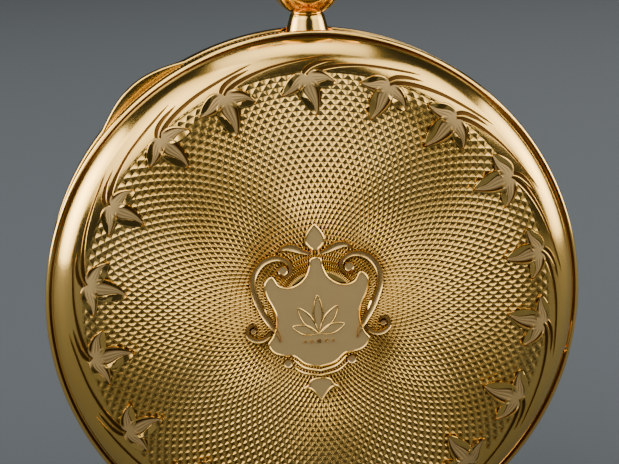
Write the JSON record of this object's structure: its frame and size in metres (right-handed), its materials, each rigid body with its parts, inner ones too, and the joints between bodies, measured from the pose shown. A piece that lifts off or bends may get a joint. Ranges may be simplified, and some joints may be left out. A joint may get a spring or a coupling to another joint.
{
  "type": "pocket watch",
  "caption": "Open-face pocket watch: hinged engraved back, dust cover, hinged glass bezel, pendant with bow and winding crown, geared movement inside.",
  "frame": {"origin": "middle of the crystal's flat outer face", "axes": "+Z to the pendant and bow, +Y out of the dial side, the engraved back faces -Y, +X to the hinges (right as seen from the back)"},
  "size_m": [0.0501, 0.013, 0.0703],
  "materials": {
    "case_gold": "polished yellow gold, engraved and engine turned",
    "hinge_gold": "polished gold wire",
    "crystal": "clear flat glass",
    "enamel": "glossy white enamel",
    "blued_steel": "heat-blued steel",
    "plate_nickel": "nickelled and damascened",
    "wheel_brass": "gilt brass",
    "bright_steel": "polished and grained steel",
    "ruby": "polished synthetic ruby"
  },
  "bodies": {
    "case": {"case_middle": "case_gold", "pendant": "case_gold", "bow_screws": "hinge_gold", "back_cover_hinge_pin": "hinge_gold", "dust_cover_hinge_pin": "hinge_gold", "bezel_hinge_pin": "hinge_gold", "dial": "enamel", "seconds_dial": "enamel", "mainplate": "plate_nickel", "barrel_bridge": "plate_nickel", "train_bridge": "plate_nickel", "balance_cock": "plate_nickel", "pallet_bridge": "plate_nickel", "bridge_screws": "blued_steel", "case_screws": "blued_steel", "bridge_jewels": "ruby", "plate_jewels": "ruby", "crown_wheel_screw": "blued_steel", "click_spring": "blued_steel"},
    "bow": {"bow": "case_gold"},
    "back_cover": {"back_cover": "case_gold"},
    "dust_cover": {"dust_cover": "case_gold"},
    "bezel": {"bezel": "case_gold", "crystal": "crystal"},
    "winding_works": {"winding_pinion": "bright_steel", "sliding_pinion": "bright_steel"},
    "crown": {"crown": "case_gold", "winding_stem": "bright_steel"},
    "crown_wheel": {"crown_wheel": "bright_steel"},
    "ratchet": {"ratchet_wheel": "bright_steel", "ratchet_screw": "blued_steel", "barrel_arbor": "bright_steel"},
    "click": {"click": "bright_steel"},
    "setting_lever": {"setting_lever": "bright_steel"},
    "minute_hand": {"minute_hand": "blued_steel", "cannon_pinion": "bright_steel"},
    "minute_wheel": {"minute_wheel": "wheel_brass"},
    "hour_hand": {"hour_hand": "blued_steel", "hour_wheel": "wheel_brass"},
    "fourth": {"fourth_wheel": "wheel_brass", "fourth_arbor": "bright_steel", "seconds_hand": "blued_steel"},
    "third": {"third_wheel": "wheel_brass", "third_arbor": "bright_steel"},
    "centre": {"centre_wheel": "wheel_brass", "centre_arbor": "bright_steel"},
    "barrel": {"barrel_drum": "wheel_brass", "barrel_lid": "wheel_brass", "mainspring": "bright_steel"},
    "escape": {"escape_wheel": "bright_steel", "escape_arbor": "bright_steel"},
    "pallet": {"pallet_fork": "bright_steel", "pallet_stones": "ruby"},
    "balance": {"balance_wheel": "wheel_brass", "balance_screws": "wheel_brass", "balance_staff": "bright_steel", "roller_table": "bright_steel", "hairspring": "blued_steel"},
    "regulator": {"regulator": "bright_steel"}
  },
  "joints": [
    {"name": "bow_swing", "type": "hinge", "parent": "case", "child": "bow", "pos_m": [0, -0.0061, 0.0296], "axis": [1, 0, 0], "range_deg": [-100, 100]},
    {"name": "back_cover_hinge", "type": "hinge", "parent": "case", "child": "back_cover", "pos_m": [0.024, -0.00875, -0.00467], "axis": [0.1908, 0, 0.9816], "range_deg": [0, 105]},
    {"name": "dust_cover_hinge", "type": "hinge", "parent": "case", "child": "dust_cover", "pos_m": [0.02228, -0.00905, -0.00433], "axis": [0.1908, 0, 0.9816], "range_deg": [0, 80]},
    {"name": "bezel_hinge", "type": "hinge", "parent": "case", "child": "bezel", "pos_m": [0.0239, -0.00565, -0.00465], "axis": [-0.1908, 0, -0.9816], "range_deg": [0, 100]},
    {"name": "crown_turn", "type": "hinge", "parent": "case", "child": "winding_works", "pos_m": [0, -0.0061, 0.0161], "axis": [0, 0, 1], "continuous": true},
    {"name": "crown_pull", "type": "slide", "parent": "winding_works", "child": "crown", "axis": [0, 0, 1], "range_m": [0, 0.0009]},
    {"name": "crown_wheel_turn", "type": "hinge", "parent": "case", "child": "crown_wheel", "pos_m": [0, -0.0087, 0.01231], "axis": [0, -1, 0], "continuous": true},
    {"name": "ratchet_turn", "type": "hinge", "parent": "case", "child": "ratchet", "pos_m": [0.0073, -0.0087, 0.00623], "axis": [0, -1, 0], "continuous": true},
    {"name": "click_rock", "type": "hinge", "parent": "case", "child": "click", "pos_m": [0.01172, -0.0087, 0.01254], "axis": [0, 1, 0], "range_deg": [0, 8], "stiffness_Nm_per_rad": 0.00002},
    {"name": "setting_lever_rock", "type": "hinge", "parent": "case", "child": "setting_lever", "pos_m": [-0.0032, -0.0036, 0.0185], "axis": [0, -1, 0], "range_deg": [0, 18]},
    {"name": "hand_setting", "type": "hinge", "parent": "case", "child": "minute_hand", "pos_m": [0, -0.0016, 0], "axis": [0, -1, 0], "continuous": true},
    {"name": "minute_wheel_turn", "type": "hinge", "parent": "case", "child": "minute_wheel", "pos_m": [0.00257, -0.0039, 0.00306], "axis": [0, -1, 0], "continuous": true},
    {"name": "hour_hand_turn", "type": "hinge", "parent": "case", "child": "hour_hand", "pos_m": [0, -0.002, 0], "axis": [0, -1, 0], "continuous": true},
    {"name": "seconds_turn", "type": "hinge", "parent": "case", "child": "fourth", "pos_m": [0, -0.0071, -0.011], "axis": [0, -1, 0], "continuous": true},
    {"name": "third_wheel_turn", "type": "hinge", "parent": "case", "child": "third", "pos_m": [0.00459, -0.0063, -0.00646], "axis": [0, -1, 0], "continuous": true},
    {"name": "centre_wheel_turn", "type": "hinge", "parent": "case", "child": "centre", "pos_m": [0, -0.0059, 0], "axis": [0, -1, 0], "continuous": true},
    {"name": "barrel_turn", "type": "hinge", "parent": "case", "child": "barrel", "pos_m": [0.0073, -0.007, 0.00623], "axis": [0, -1, 0], "continuous": true},
    {"name": "escape_wheel_turn", "type": "hinge", "parent": "case", "child": "escape", "pos_m": [-0.0053, -0.0063, -0.01331], "axis": [0, -1, 0], "continuous": true},
    {"name": "pallet_rock", "type": "hinge", "parent": "case", "child": "pallet", "pos_m": [-0.00753, -0.0063, -0.01054], "axis": [0, -1, 0], "range_deg": [-6, 6]},
    {"name": "balance_swing", "type": "hinge", "parent": "case", "child": "balance", "pos_m": [-0.012, -0.0072, -0.005], "axis": [0, -1, 0], "range_deg": [-135, 135], "stiffness_Nm_per_rad": 0.0000012},
    {"name": "regulator_turn", "type": "hinge", "parent": "case", "child": "regulator", "pos_m": [-0.012, -0.0091, -0.005], "axis": [0, -1, 0], "range_deg": [-20, 20]}
  ],
  "couplings": [
    {"joint": "dust_cover_hinge", "follows": "back_cover_hinge", "ratio": 0.75},
    {"joint": "crown_wheel_turn", "follows": "crown_turn", "ratio": -0.66667},
    {"joint": "ratchet_turn", "follows": "crown_turn", "ratio": 0.43478},
    {"joint": "setting_lever_rock", "follows": "crown_pull", "rad_per_m": 312.5},
    {"joint": "minute_wheel_turn", "follows": "hand_setting", "ratio": -0.33333},
    {"joint": "hour_hand_turn", "follows": "hand_setting", "ratio": 0.083333},
    {"joint": "third_wheel_turn", "follows": "seconds_turn", "ratio": -0.13333},
    {"joint": "centre_wheel_turn", "follows": "seconds_turn", "ratio": 0.016667},
    {"joint": "barrel_turn", "follows": "seconds_turn", "ratio": -0.002381},
    {"joint": "escape_wheel_turn", "follows": "seconds_turn", "ratio": -10}
  ]
}
